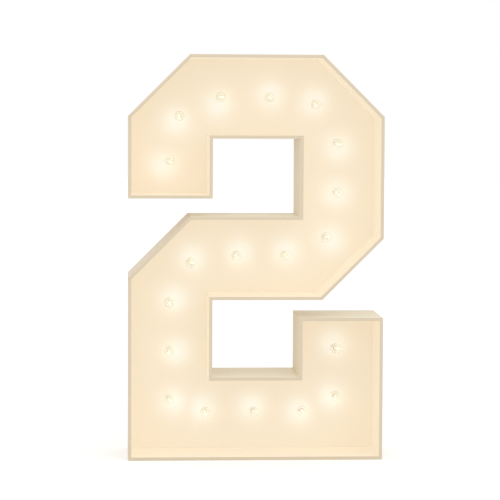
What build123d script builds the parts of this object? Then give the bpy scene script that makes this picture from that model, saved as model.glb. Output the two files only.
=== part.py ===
from build123d import *
import math
import os

# A free-standing light up figure two. Mitred boards stand on edge round the outline, a panel sits in
# a groove inside them, and lamps in screwed holders stand out of the panel. One flat cable joins the
# holders behind the panel and ends in a battery case there.
# Millimetres. The front faces -Y, X is to the right seen from the front, Z is up, and the origin is
# the middle of the base on the floor.

# Outline of the figure
overall_height = 1219.0
overall_width = 768.0
overall_depth = 254.0
side_stroke = 253.0
level_stroke = 251.0
side_gap = 53.5
corner_cut = 184.5

# Boards and panel
board = 10.0
panel_thickness = 10.0
panel_inset = 185.0
groove_depth = 3.0
groove_clearance = 0.2

# Line of the lamps along the middle of the strokes
lamp_count = 19
end_lamp_distance = 109.0
lamp_corner_cut = 88.0

# Turned pieces have flats instead of a round side, so that the many copies stay light
lamp_flat_count = 10
stem_flat_count = 6
nut_flat_count = 6
cell_flat_count = 24

# Bulb
globe_radius = 15.0
globe_centre = 33.0
globe_band_count = 4
globe_inner_band_count = 2
glass = 0.9
neck_radius = 6.2
neck_length = 3.0
stem_radius = 1.8
stem_length = 18.0
filament_radius = 0.9
filament_length = 18.0
cap_radius = 6.5
cap_length = 15.0
cap_reveal = 1.5
tip_radius = 2.4
tip_length = 2.0

# Lampholder
flange_radius = 13.5
flange_thickness = 2.5
barrel_radius = 10.0
barrel_clearance = 0.3
cap_clearance = 0.3
holder_floor = 3.6
nut_width = 26.0
nut_thickness = 4.0
nut_clearance = 0.2
holder_cover = 2.0
pin_width = 2.0
pin_rise = 1.0
pin_spacing = 4.4
pin_clearance = 0.1

# Flat cable, with its smaller bend where it turns by more than so many degrees
cable_width = 3.0
cable_depth = 6.0
cable_clearance = 0.2
cable_tail = 26.0
cable_bend = 40.0
cable_corner_bend = 25.0
cable_corner_turn = 60.0
cable_in_case = 6.0
end_cap_wall = 1.5
end_cap_length = 12.0
end_cap_overlap = 9.0

# Battery case behind the panel, above the last lamp
cell_count = 3
cell_diameter = 14.5
cell_length = 50.5
cell_button_diameter = 5.5
cell_button_length = 1.0
cell_gap = 0.5
case_wall = 2.4
case_floor = 1.8
case_above_lamp = 18.0
case_rib_width = 1.4
case_rib_height = 3.0
contact_room = 3.5
switch_bay = 13.0
pad_thickness = 1.0
pad_border = 3.0
cover_thickness = 1.8
cover_clearance = 0.2
cover_groove = 1.2
case_lip = 1.2
grip_count = 4
grip_width = 1.0
grip_height = 0.7
grip_pitch = 2.4
grip_border = 12.0

# Battery contacts, lead and switch
contact_thickness = 0.5
contact_width = 11.0
contact_height = 12.0
leaf_width = 6.0
leaf_clearance = 0.2
lead_width = 1.4
lead_clearance = 0.2
lid_thickness = 1.6
switch_length = 13.0
switch_width = 6.0
switch_height = 5.5
knob_length = 4.0
knob_width = 2.4
knob_foot = 2.0
knob_rise = 2.0
knob_travel = 4.0
knob_clearance = 0.1
knob_slot_clearance = 0.3

# One overrun for every cut
overrun = 1.0

# Heights of the figure's corners, from the floor
counter_height = (overall_height - 3 * level_stroke) / 2
lower_counter_floor = level_stroke
lower_counter_top = lower_counter_floor + counter_height
lower_terminal_top = lower_counter_top - side_gap
waist_top = lower_counter_top + level_stroke
upper_terminal_bottom = waist_top + side_gap
upper_counter_top = waist_top + counter_height

# Distances to the right of the middle
right_side = overall_width / 2
left_side = -right_side
counter_left = left_side + side_stroke
counter_right = right_side - side_stroke

# Depths, from the middle of the depth towards the back
front_edge = -overall_depth / 2
panel_front = front_edge + panel_inset
panel_back = panel_front + panel_thickness

# Heights inside a lamp, from the panel's front face towards the front
cap_top = flange_thickness + cap_reveal
cap_bottom = cap_top - cap_length
tip_bottom = cap_bottom - tip_length
bore_bottom = tip_bottom - pin_rise
slot_bottom = bore_bottom - holder_floor
cable_front = slot_bottom - cable_clearance
cable_back = cable_front - cable_depth
barrel_end = cable_back - cable_clearance
bore_radius = cap_radius + cap_clearance
hole_radius = barrel_radius + barrel_clearance

# Sizes inside the battery case
cell_radius = cell_diameter / 2
cell_pitch = cell_diameter + cell_gap
bay_width = cell_count * cell_pitch + cell_gap
bay_length = cell_length + 2 * contact_room
case_width = bay_width + 2 * case_wall
case_length = bay_length + switch_bay + 3 * case_wall
bay_bottom = case_wall + switch_bay + case_wall
cover_seat = case_floor + cell_diameter + 2 * cell_gap
cover_slot = cover_thickness + 2 * cover_clearance
case_height = cover_seat + cover_slot + case_lip
lid_length = case_wall + switch_bay
lid_seat = case_height - lid_thickness
case_back = panel_back + pad_thickness


def outline():
    """Corners of the figure seen from the front, clockwise from the left end of the top."""
    return [
        (left_side + corner_cut, overall_height),
        (right_side - corner_cut, overall_height),
        (right_side, overall_height - corner_cut),
        (right_side, lower_counter_top + corner_cut),
        (right_side - corner_cut, lower_counter_top),
        (counter_left, lower_counter_top),
        (counter_left, lower_counter_floor),
        (counter_right, lower_counter_floor),
        (counter_right, lower_terminal_top),
        (right_side, lower_terminal_top),
        (right_side, 0),
        (left_side, 0),
        (left_side, waist_top - corner_cut),
        (left_side + corner_cut, waist_top),
        (counter_right, waist_top),
        (counter_right, upper_counter_top),
        (counter_left, upper_counter_top),
        (counter_left, upper_terminal_bottom),
        (left_side, upper_terminal_bottom),
        (left_side, overall_height - corner_cut),
    ]


# One board stands on each edge of the outline, in the same order
WALL_NAMES = [
    "top_wall",
    "upper_right_corner_wall",
    "upper_right_wall",
    "waist_right_corner_wall",
    "waist_underside_wall",
    "lower_counter_left_wall",
    "lower_counter_floor_wall",
    "lower_counter_right_wall",
    "lower_terminal_top_wall",
    "lower_right_wall",
    "base_wall",
    "lower_left_wall",
    "waist_left_corner_wall",
    "waist_top_wall",
    "upper_counter_right_wall",
    "upper_counter_top_wall",
    "upper_terminal_right_wall",
    "upper_terminal_bottom_wall",
    "upper_left_wall",
    "upper_left_corner_wall",
]


def inset(corners, distance):
    """The same outline with each corner moved along its mitre, so that every edge moves inwards."""
    moved = []
    for index, (x, z) in enumerate(corners):
        before = Vector(*corners[index - 1], 0)
        after = Vector(*corners[(index + 1) % len(corners)], 0)
        here = Vector(x, z, 0)
        arriving = (here - before).normalized()
        leaving = (after - here).normalized()
        normal_1 = Vector(arriving.Y, -arriving.X, 0)
        normal_2 = Vector(leaving.Y, -leaving.X, 0)
        step = (normal_1 + normal_2) * (distance / (1 + normal_1.dot(normal_2)))
        moved.append((x + step.X, z + step.Y))
    return moved


def slab(corners, front, thickness):
    """A flat piece with the given corners in the upright plane, from front towards the back."""
    face = make_face(Polyline(*[(x, front, z) for x, z in corners], close=True))
    return extrude(face, amount=thickness, dir=(0, 1, 0))


def make_walls():
    """The boards, mitred at both ends, each with its length of the panel's groove."""
    outer = outline()
    inner = inset(outer, board)
    groove = slab(
        inset(outer, board - groove_depth),
        panel_front - groove_clearance,
        panel_thickness + 2 * groove_clearance,
    )
    walls = {}
    for index, name in enumerate(WALL_NAMES):
        following = (index + 1) % len(outer)
        corners = [outer[index], outer[following], inner[following], inner[index]]
        walls[name] = slab(corners, front_edge, overall_depth) - groove
    return walls


def turned(ring, flats):
    """A solid with flats round the Z axis, from a closed ring of (radius, height) points."""

    def corners(radius, height):
        return [
            (
                radius * math.cos(2 * math.pi * (turn + 1 / 2) / flats),
                radius * math.sin(2 * math.pi * (turn + 1 / 2) / flats),
                height,
            )
            for turn in range(flats)
        ]

    faces = []
    for (radius_1, height_1), (radius_2, height_2) in zip(ring, ring[1:] + ring[:1]):
        rim_1 = corners(radius_1, height_1)
        rim_2 = corners(radius_2, height_2)
        if height_1 == height_2:
            rims = sorted([(radius_1, rim_1), (radius_2, rim_2)], key=lambda pair: pair[0])
            inner = [Wire.make_polygon(rims[0][1])] if rims[0][0] else []
            faces.append(Face(Wire.make_polygon(rims[1][1]), inner))
            continue
        for turn in range(flats):
            following = (turn + 1) % flats
            loop = [rim_1[turn]]
            if radius_1:
                loop.append(rim_1[following])
            if radius_2:
                loop.append(rim_2[following])
            loop.append(rim_2[turn])
            if radius_1 or radius_2:
                faces.append(Face(Wire.make_polygon(loop)))
    return Solid(Shell(faces))


def lamp_line():
    """The corners of the line that the lamps and the cable follow, from the upper terminal's end."""
    left = left_side + side_stroke / 2
    right = right_side - side_stroke / 2
    base = level_stroke / 2
    waist = lower_counter_top + level_stroke / 2
    top = overall_height - level_stroke / 2
    cut = lamp_corner_cut
    return [
        (left, upper_terminal_bottom),
        (left, top - cut),
        (left + cut, top),
        (right - cut, top),
        (right, top - cut),
        (right, waist + cut),
        (right - cut, waist),
        (left + cut, waist),
        (left, waist - cut),
        (left, base),
        (right, base),
        (right, lower_terminal_top),
    ]


def lamp_places():
    """A frame for each lamp: X along the line, Z out of the panel's front face."""
    line = Polyline(*[(x, panel_front, z) for x, z in lamp_line()])
    pitch = (line.length - 2 * end_lamp_distance) / (lamp_count - 1)
    places = []
    for index in range(lamp_count):
        share = (end_lamp_distance + index * pitch) / line.length
        places.append(Plane(line @ share, x_dir=line % share, z_dir=(0, -1, 0)))
    return places


def at_lamps(piece):
    """A copy of the piece at every lamp."""
    return Compound([place.location * piece for place in lamp_places()])


def make_panel():
    """The panel, with its edges in the boards' grooves and a hole for each lampholder."""
    edge = inset(outline(), board - groove_depth + groove_clearance)
    top = overrun
    bottom = -panel_thickness - overrun
    hole = turned([(0, bottom), (hole_radius, bottom), (hole_radius, top), (0, top)], lamp_flat_count)
    panel = slab(edge, panel_front, panel_thickness)
    for place in lamp_places():
        panel -= place.location * hole
    return panel


def globe_side(radius, neck, bands):
    """Points up the side of a globe: a straight neck, a tangent cone and bands round the ball."""
    rise = globe_centre - cap_top - neck_length
    reach = math.hypot(neck, rise)
    start = math.atan2(neck, rise) + math.acos(radius / reach)
    points = [(neck, cap_top), (neck, cap_top + neck_length)]
    for band in range(bands):
        angle = start + (math.pi - start) * band / bands
        points.append((radius * math.sin(angle), globe_centre - radius * math.cos(angle)))
    points.append((0, globe_centre + radius))
    return points


def make_globe():
    """The glass, open at the neck where it stands on the cap."""
    outside = globe_side(globe_radius, neck_radius, globe_band_count)
    inside = globe_side(globe_radius - glass, neck_radius - glass, globe_inner_band_count)
    return turned(outside + inside[::-1], lamp_flat_count)


def make_filament():
    """The stem and the lit rod inside the glass."""
    stem_top = cap_top + stem_length
    filament_top = stem_top + filament_length
    ring = [
        (0, cap_top),
        (stem_radius, cap_top),
        (stem_radius, stem_top),
        (filament_radius, stem_top),
        (filament_radius, filament_top),
        (0, filament_top),
    ]
    return turned(ring, stem_flat_count)


def make_cap():
    """The bulb's metal cap with its end contact."""
    cap = turned(
        [(0, cap_bottom), (cap_radius, cap_bottom), (cap_radius, cap_top), (0, cap_top)],
        lamp_flat_count,
    )
    tip = turned(
        [(0, tip_bottom), (tip_radius, tip_bottom), (tip_radius, cap_bottom), (0, cap_bottom)],
        stem_flat_count,
    )
    return cap + tip


def pin_places():
    """The end pin is on the lamp's axis and the rim pin beside it, both over the cable."""
    return [Pos(0, 0, 0), Pos(pin_spacing, 0, 0)]


def upright_box(length, width, bottom, top):
    """A box centred on the axis between two heights."""
    return Pos(0, 0, (bottom + top) / 2) * Box(length, width, top - bottom)


def make_holder():
    """The moulded holder: flange, barrel, bore for the cap, pin holes and the cable's slot."""
    holder = turned(
        [
            (0, barrel_end),
            (barrel_radius, barrel_end),
            (barrel_radius, 0),
            (flange_radius, 0),
            (flange_radius, flange_thickness),
            (bore_radius, flange_thickness),
            (bore_radius, bore_bottom),
            (0, bore_bottom),
        ],
        lamp_flat_count,
    )
    slot_width = cable_width + 2 * cable_clearance
    slot_length = 2 * (barrel_radius + overrun)
    holder -= upright_box(slot_length, slot_width, barrel_end - overrun, slot_bottom)
    hole_width = pin_width + 2 * pin_clearance
    for place in pin_places():
        holder -= place * upright_box(
            hole_width, hole_width, slot_bottom - overrun, bore_bottom + overrun
        )
    return holder


def make_pins():
    """The two pins that stand on the cable and meet the cap's end and rim."""
    end_pin, rim_pin = pin_places()
    return [
        end_pin * upright_box(pin_width, pin_width, cable_front, tip_bottom),
        rim_pin * upright_box(pin_width, pin_width, cable_front, cap_bottom),
    ]


def make_nut():
    """The six-sided nut that clamps the holder's flange to the panel from behind."""
    front = -panel_thickness
    back = front - nut_thickness
    corner_radius = nut_width / 2 / math.cos(math.pi / nut_flat_count)
    nut = turned(
        [(0, back), (corner_radius, back), (corner_radius, front), (0, front)],
        nut_flat_count,
    )
    bore = barrel_radius + nut_clearance
    return nut - turned(
        [
            (0, back - overrun),
            (bore, back - overrun),
            (bore, front + overrun),
            (0, front + overrun),
        ],
        lamp_flat_count,
    )


def make_holder_cover():
    """The plate behind the holder that keeps the cable in its slot."""
    back = barrel_end - holder_cover
    return turned(
        [(0, back), (barrel_radius, back), (barrel_radius, barrel_end), (0, barrel_end)],
        lamp_flat_count,
    )


def cable_middle():
    """The depth of the cable's middle line."""
    return panel_front - (cable_front + cable_back) / 2


def cable_start():
    """The cable's free end, beyond the first lamp."""
    first = lamp_places()[0].origin
    return first.X, first.Z - cable_tail


def case_bottom():
    """The height of the battery case's lower end."""
    return lamp_places()[-1].origin.Z + case_above_lamp


def make_cable():
    """One flat cable through every holder, from its end cap into the battery case."""
    corners = lamp_line()
    last_x = corners[-1][0]
    end = (last_x, case_bottom() + cable_in_case)
    points = [cable_start()] + corners[1:-1] + [end]
    depth = cable_middle()
    radii = []
    for before, here, after in zip(points, points[1:], points[2:]):
        arriving = Vector(here[0] - before[0], here[1] - before[1], 0)
        leaving = Vector(after[0] - here[0], after[1] - here[1], 0)
        corner = arriving.get_angle(leaving) > cable_corner_turn
        radii.append(cable_corner_bend if corner else cable_bend)
    path = FilletPolyline(*[(x, depth, z) for x, z in points], radius=radii)
    section = Plane(path @ 0, x_dir=(1, 0, 0), z_dir=path % 0) * Rectangle(
        cable_width, cable_depth
    )
    cable = sweep(section, path=path)
    print("cable length", round(path.length), "tightest bend", min(radii))
    return cable


def make_end_cap():
    """The closed sleeve over the cable's free end."""
    x, z = cable_start()
    width = cable_width + 2 * (cable_clearance + end_cap_wall)
    depth = cable_depth + 2 * (cable_clearance + end_cap_wall)
    top = z + end_cap_overlap
    cap = Pos(x, cable_middle(), top - end_cap_length / 2) * Box(width, depth, end_cap_length)
    socket_bottom = z - cable_clearance
    socket_top = top + overrun
    socket = Pos(x, cable_middle(), (socket_bottom + socket_top) / 2) * Box(
        width - 2 * end_cap_wall,
        depth - 2 * end_cap_wall,
        socket_top - socket_bottom,
    )
    return cap - socket


def case_place():
    """The battery case's frame seen from behind: X to the left of the figure, Y up, Z backwards."""
    return Plane(
        (lamp_places()[-1].origin.X, case_back, case_bottom()),
        x_dir=(-1, 0, 0),
        z_dir=(0, 1, 0),
    ).location


def block(x_range, y_range, z_range):
    """A box between two places on each axis."""
    (x_1, x_2), (y_1, y_2), (z_1, z_2) = x_range, y_range, z_range
    middle = Pos((x_1 + x_2) / 2, (y_1 + y_2) / 2, (z_1 + z_2) / 2)
    return middle * Box(x_2 - x_1, y_2 - y_1, z_2 - z_1)


def make_pad():
    """The foam pad that holds the battery case to the panel."""
    half = case_width / 2 - pad_border
    return block(
        (-half, half),
        (pad_border, case_length - pad_border),
        (-pad_thickness, 0),
    )


def make_case():
    """The battery case: a cell bay with cradle ribs and a cover slot, and a bay for the switch."""
    half = case_width / 2
    inner = bay_width / 2
    bay_top = bay_bottom + bay_length
    switch_top = case_wall + switch_bay
    case = block((-half, half), (0, case_length), (0, case_height))
    case -= block((-inner, inner), (bay_bottom, bay_top), (case_floor, case_height + overrun))
    case -= block((-inner, inner), (case_wall, switch_top), (case_floor, case_height + overrun))
    for rib in range(1, cell_count):
        middle = -inner + cell_gap / 2 + rib * cell_pitch
        case += block(
            (middle - case_rib_width / 2, middle + case_rib_width / 2),
            (bay_bottom + contact_room, bay_top - contact_room),
            (case_floor, case_floor + case_rib_height),
        )
    case -= block(
        (-half - overrun, inner),
        (bay_bottom - cover_groove, bay_top + cover_groove),
        (cover_seat, cover_seat + cover_slot),
    )
    case -= block(
        (-half - overrun, -inner),
        (bay_bottom, bay_top),
        (cover_seat, case_height + overrun),
    )
    case -= block(
        (-half - overrun, half + overrun),
        (-overrun, lid_length),
        (lid_seat, case_height + overrun),
    )
    cable_side = cable_width / 2 + cable_clearance
    cable_height = cable_middle() - case_back
    cable_reach = cable_depth / 2 + cable_clearance
    case -= block(
        (-cable_side, cable_side),
        (-overrun, case_wall + overrun),
        (cable_height - cable_reach, cable_height + cable_reach),
    )
    lead_side = lead_width + 2 * lead_clearance
    case -= block(
        (inner - lead_side, inner),
        (switch_top - overrun, bay_bottom + overrun),
        (case_floor, case_floor + lead_side),
    )
    return case


def make_cover():
    """The sliding cover over the cells, with grip ridges at its open end."""
    half = case_width / 2
    bottom = cover_seat + cover_clearance
    top = bottom + cover_thickness
    reach = cover_groove - cover_clearance
    bay_top = bay_bottom + bay_length
    cover = block(
        (-half, bay_width / 2 - cover_clearance),
        (bay_bottom - reach, bay_top + reach),
        (bottom, top),
    )
    for ridge in range(grip_count):
        start = -half + grip_width + ridge * grip_pitch
        cover += block(
            (start, start + grip_width),
            (bay_bottom + grip_border, bay_top - grip_border),
            (top, top + grip_height),
        )
    return cover


def cell_middle(index):
    """The place of a cell across the bay."""
    return (index - (cell_count - 1) / 2) * cell_pitch


def points_up(index):
    """Neighbouring cells lie opposite ways, the outer ones with the button up."""
    return index % 2 == 0


def make_cell(index):
    """A round cell with its button, lying along the case."""
    body_length = cell_length - cell_button_length
    button = cell_button_diameter / 2
    cell = turned(
        [
            (0, 0),
            (cell_radius, 0),
            (cell_radius, body_length),
            (button, body_length),
            (button, cell_length),
            (0, cell_length),
        ],
        cell_flat_count,
    )
    height = case_floor + cell_gap / 2 + cell_radius
    start = bay_bottom + contact_room
    if points_up(index):
        return Plane((cell_middle(index), start, height), z_dir=(0, 1, 0)).location * cell
    return Plane((cell_middle(index), start + cell_length, height), z_dir=(0, -1, 0)).location * cell


def make_contacts():
    """The plates at both ends of the cells, and a bent leaf at each cell's flat end."""
    bay_top = bay_bottom + bay_length
    low = case_floor
    high = case_floor + contact_height
    half = contact_width / 2
    first, last = cell_middle(0), cell_middle(cell_count - 1)
    # Two plates link a pair of cells, and one plate at each end stands alone
    upper = [(first - half, first + half), (cell_middle(1) - half, last + half)]
    lower = [(first - half, cell_middle(1) + half), (last - half, last + half)]
    plates = [block(span, (bay_top - contact_thickness, bay_top), (low, high)) for span in upper]
    plates += [
        block(span, (bay_bottom, bay_bottom + contact_thickness), (low, high)) for span in lower
    ]
    leaves = [make_leaf(index) for index in range(cell_count)]
    return [plates[0], plates[1] + leaves[1], plates[2] + leaves[0], plates[3] + leaves[2]]


def make_leaf(index):
    """A leaf pressed out of its plate, bent towards the cell and back."""
    bay_top = bay_bottom + bay_length
    root = bay_bottom + contact_thickness if points_up(index) else bay_top - contact_thickness
    way = 1 if points_up(index) else -1
    reach = contact_room - contact_thickness - leaf_clearance
    low = case_floor + contact_thickness
    tall = contact_height - 2 * contact_thickness
    side = cell_middle(index) - leaf_width / 2
    # Seen from the side: foot, crest and tip of the bent strip, and back along its other face
    profile = [
        (root, low),
        (root + way * reach, low + tall / 2),
        (root + way * contact_thickness, low + tall),
        (root, low + tall),
        (root + way * (reach - contact_thickness), low + tall / 2),
        (root, low + 2 * contact_thickness),
    ]
    face = make_face(Polyline(*[(side, y, z) for y, z in profile], close=True))
    return extrude(face, amount=leaf_width, dir=(1, 0, 0))


def make_lead():
    """The lead in the corner of the cell bay, from the upper single plate down to the switch."""
    inner = bay_width / 2
    return block(
        (inner - lead_clearance - lead_width, inner - lead_clearance),
        (case_wall + contact_room, bay_bottom + bay_length - contact_thickness),
        (case_floor + lead_clearance, case_floor + lead_clearance + lead_width),
    )


def switch_middle():
    """The switch's place along the case."""
    return case_wall + switch_bay / 2


def make_lid():
    """The fixed lid over the switch, with a slot for the knob."""
    half = case_width / 2
    slot_length = (knob_length + knob_travel) / 2 + knob_slot_clearance
    slot_width = knob_width / 2 + knob_slot_clearance
    middle = switch_middle()
    lid = block((-half, half), (0, lid_length), (lid_seat, case_height))
    return lid - block(
        (-slot_length, slot_length),
        (middle - slot_width, middle + slot_width),
        (lid_seat - overrun, case_height + overrun),
    )


def make_switch():
    """The switch body under the lid, with a pocket that the knob's foot slides in."""
    middle = switch_middle()
    body = block(
        (-switch_length / 2, switch_length / 2),
        (middle - switch_width / 2, middle + switch_width / 2),
        (lid_seat - switch_height, lid_seat),
    )
    pocket_length = (knob_length + knob_travel) / 2 + knob_clearance
    pocket_width = knob_width / 2 + knob_clearance
    return body - block(
        (-pocket_length, pocket_length),
        (middle - pocket_width, middle + pocket_width),
        (lid_seat - knob_foot - knob_clearance, lid_seat + overrun),
    )


def make_knob():
    """The knob at the off end of its slot."""
    middle = switch_middle()
    start = -(knob_length + knob_travel) / 2
    return block(
        (start, start + knob_length),
        (middle - knob_width / 2, middle + knob_width / 2),
        (lid_seat - knob_foot, case_height + knob_rise),
    )


def in_case(*pieces):
    """Pieces of the battery case moved to their place behind the panel."""
    place = case_place()
    moved = [place * piece for piece in pieces]
    return moved[0] if len(moved) == 1 else Compound(moved)


def make_parts():
    """Every node of the figure by name."""
    parts = make_walls()
    parts["light_panel"] = make_panel()
    parts["bulb_globes"] = at_lamps(make_globe())
    parts["bulb_filaments"] = at_lamps(make_filament())
    parts["bulb_caps"] = at_lamps(make_cap())
    parts["lampholders"] = at_lamps(make_holder())
    parts["lampholder_nuts"] = at_lamps(make_nut())
    parts["lampholder_covers"] = at_lamps(make_holder_cover())
    parts["lampholder_pins"] = Compound(
        [place.location * pin for place in lamp_places() for pin in make_pins()]
    )
    parts["lamp_cable"] = make_cable()
    parts["cable_end_cap"] = make_end_cap()
    parts["battery_pad"] = in_case(make_pad())
    parts["battery_case"] = in_case(make_case())
    parts["battery_cover"] = in_case(make_cover())
    for index in range(cell_count):
        parts[f"battery_cell_{index + 1}"] = in_case(make_cell(index))
    parts["battery_contacts"] = in_case(*make_contacts())
    parts["battery_lead"] = in_case(make_lead())
    parts["switch_lid"] = in_case(make_lid())
    parts["switch_body"] = in_case(make_switch())
    parts["switch_knob"] = in_case(make_knob())
    return parts


os.makedirs("parts", exist_ok=True)
for node, shape in make_parts().items():
    export_step(shape, f"parts/{node}.step")
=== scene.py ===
"""Finish of a free-standing light up figure two: painted boards, a lit panel, clear globe lamps in
moulded holders, and the wiring and battery case behind the panel."""

import math

import bpy
import numpy as np
from bpy.props import FloatProperty, FloatVectorProperty, IntProperty, PointerProperty
from mathutils import Matrix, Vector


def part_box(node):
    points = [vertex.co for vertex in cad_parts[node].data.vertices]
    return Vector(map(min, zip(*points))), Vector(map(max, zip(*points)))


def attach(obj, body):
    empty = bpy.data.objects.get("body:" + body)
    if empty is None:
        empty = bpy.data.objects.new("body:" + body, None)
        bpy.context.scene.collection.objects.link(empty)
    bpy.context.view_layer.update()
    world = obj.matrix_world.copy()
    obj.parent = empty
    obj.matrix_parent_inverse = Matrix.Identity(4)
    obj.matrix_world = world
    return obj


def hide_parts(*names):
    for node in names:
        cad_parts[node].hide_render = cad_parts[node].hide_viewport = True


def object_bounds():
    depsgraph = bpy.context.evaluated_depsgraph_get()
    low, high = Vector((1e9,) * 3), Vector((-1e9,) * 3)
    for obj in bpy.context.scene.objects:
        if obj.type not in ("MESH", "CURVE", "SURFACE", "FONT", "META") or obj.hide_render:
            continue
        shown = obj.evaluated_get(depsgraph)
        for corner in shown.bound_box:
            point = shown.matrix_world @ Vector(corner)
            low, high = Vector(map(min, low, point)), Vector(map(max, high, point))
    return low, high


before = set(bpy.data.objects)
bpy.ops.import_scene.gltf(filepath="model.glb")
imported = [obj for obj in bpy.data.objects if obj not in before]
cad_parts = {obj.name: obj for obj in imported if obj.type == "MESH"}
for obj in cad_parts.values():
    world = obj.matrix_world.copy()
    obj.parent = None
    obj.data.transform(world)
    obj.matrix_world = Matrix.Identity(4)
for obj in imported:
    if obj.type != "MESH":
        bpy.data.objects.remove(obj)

bl_info = {
    "name": "Light up figure two",
    "version": (1, 0, 0),
    "blender": (4, 5, 0),
    "location": "View3D > Sidebar > Figure",
    "description": "Paint, lamps, wiring and battery case of a free-standing light up figure",
    "category": "Object",
}

CAD_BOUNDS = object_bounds()
FIGURE = "figure"
MM = 0.001
GOLDEN = (math.sqrt(5) - 1) / 2
NO_LIGHT = (0, 0, 0)
WHITE = (1, 1, 1, 1)

# The boards round the openings
OPENINGS = (
    "waist_underside_wall", "lower_counter_left_wall", "lower_counter_floor_wall",
    "lower_counter_right_wall", "lower_terminal_top_wall", "waist_top_wall",
    "upper_counter_right_wall", "upper_counter_top_wall", "upper_terminal_right_wall",
    "upper_terminal_bottom_wall",
)

# The way into the box from each board, by the board's node
INWARD = {
    "top_wall": (0, -1),
    "upper_right_corner_wall": (-1, -1),
    "upper_right_wall": (-1, 0),
    "waist_right_corner_wall": (-1, 1),
    "waist_underside_wall": (0, 1),
    "lower_counter_left_wall": (-1, 0),
    "lower_counter_floor_wall": (0, -1),
    "lower_counter_right_wall": (1, 0),
    "lower_terminal_top_wall": (0, -1),
    "lower_right_wall": (-1, 0),
    "base_wall": (0, 1),
    "lower_left_wall": (1, 0),
    "waist_left_corner_wall": (1, -1),
    "waist_top_wall": (0, -1),
    "upper_counter_right_wall": (1, 0),
    "upper_counter_top_wall": (0, 1),
    "upper_terminal_right_wall": (-1, 0),
    "upper_terminal_bottom_wall": (0, 1),
    "upper_left_wall": (1, 0),
    "upper_left_corner_wall": (1, -1),
}

# The ways in which the painted pools of light fall aside on the panel, in steps to the right and up, and
# which lamps on the line throw them so: no bulb stands quite square in its holder
POOLS_ASIDE = {
    (-2, -1): (1,),
    (-1, -2): (3,),
    (-1, -1): (2,),
    (0, -1): (6,),
    (1, -1): (8, 14),
    (2, 0): (13,),
    (1, 1): (10, 12),
    (0, 1): (4, 5, 9, 11),
    (-1, 1): (15, 16, 19),
    (-1, 0): (17, 18),
}

# The cells whose button points up
UPRIGHT_CELLS = (1, 3)


# Settings


def length(name, description, default):
    """A size in metres."""
    return FloatProperty(name=name, description=description, default=default, unit="LENGTH", precision=5)


def share(name, description, default):
    """A plain number from nought up."""
    return FloatProperty(name=name, description=description, default=default, min=0, precision=4)


def angle(name, description, degrees):
    """An angle, given in degrees."""
    return FloatProperty(
        name=name, description=description, default=math.radians(degrees), subtype="ANGLE"
    )


def point(name, description, default):
    """A point in the scene."""
    return FloatVectorProperty(
        name=name, description=description, default=default, subtype="TRANSLATION", size=3, precision=4
    )


def colour(name, description, default):
    """A linear colour."""
    return FloatVectorProperty(
        name=name, description=description, default=default, subtype="COLOR", size=3, min=0, max=1
    )


class BoardSettings(bpy.types.PropertyGroup):
    """Paint of the boards and the panel, with the light painted on them."""

    paint: colour("Paint", "Cream paint of the boards and the panel", (0.80, 0.680, 0.500))
    arris: length("Eased edge", "Width of the eased edges of the boards", 0.8 * MM)
    # Painted light: the glow and the pools are emission painted on the paint inside the box, standing in
    # for the lamps' light on it
    lamp_glow: share("Glow", "Light of the lamps that the paint inside the box gives back", 0.219)
    pool_glow: share("Pools", "Extra light right round each lamp", 0.196)
    pool_reach: length("Pool reach", "Distance at which a pool has fallen to a third", 43 * MM)
    pool_aside: length("Pool step", "One step of a pool's place aside from its lamp", 12 * MM)
    glow_colour: colour("Glow colour", "Colour of the lamps' light on the paint", (0.95, 1.0, 0.96))
    pool_colour: colour("Pool colour", "Colour of the pools of light", (0.37, 0.72, 1.0))
    # Painted light on the outward sides of the openings and on the ledges, as emission that fades towards
    # the back, standing in for the light that reaches them
    opening_light: colour(
        "Opening light", "Light that the sides of the openings throw on each other", (0.097, 0.102, 0.078)
    )
    ledge_light: colour(
        "Ledge light", "Light that reaches the upper sides of the openings' ledges", (0.125, 0.155, 0.135)
    )
    opening_fade: share("Opening fade", "Share of the openings' light that is lost towards the back", 0.7)


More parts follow.
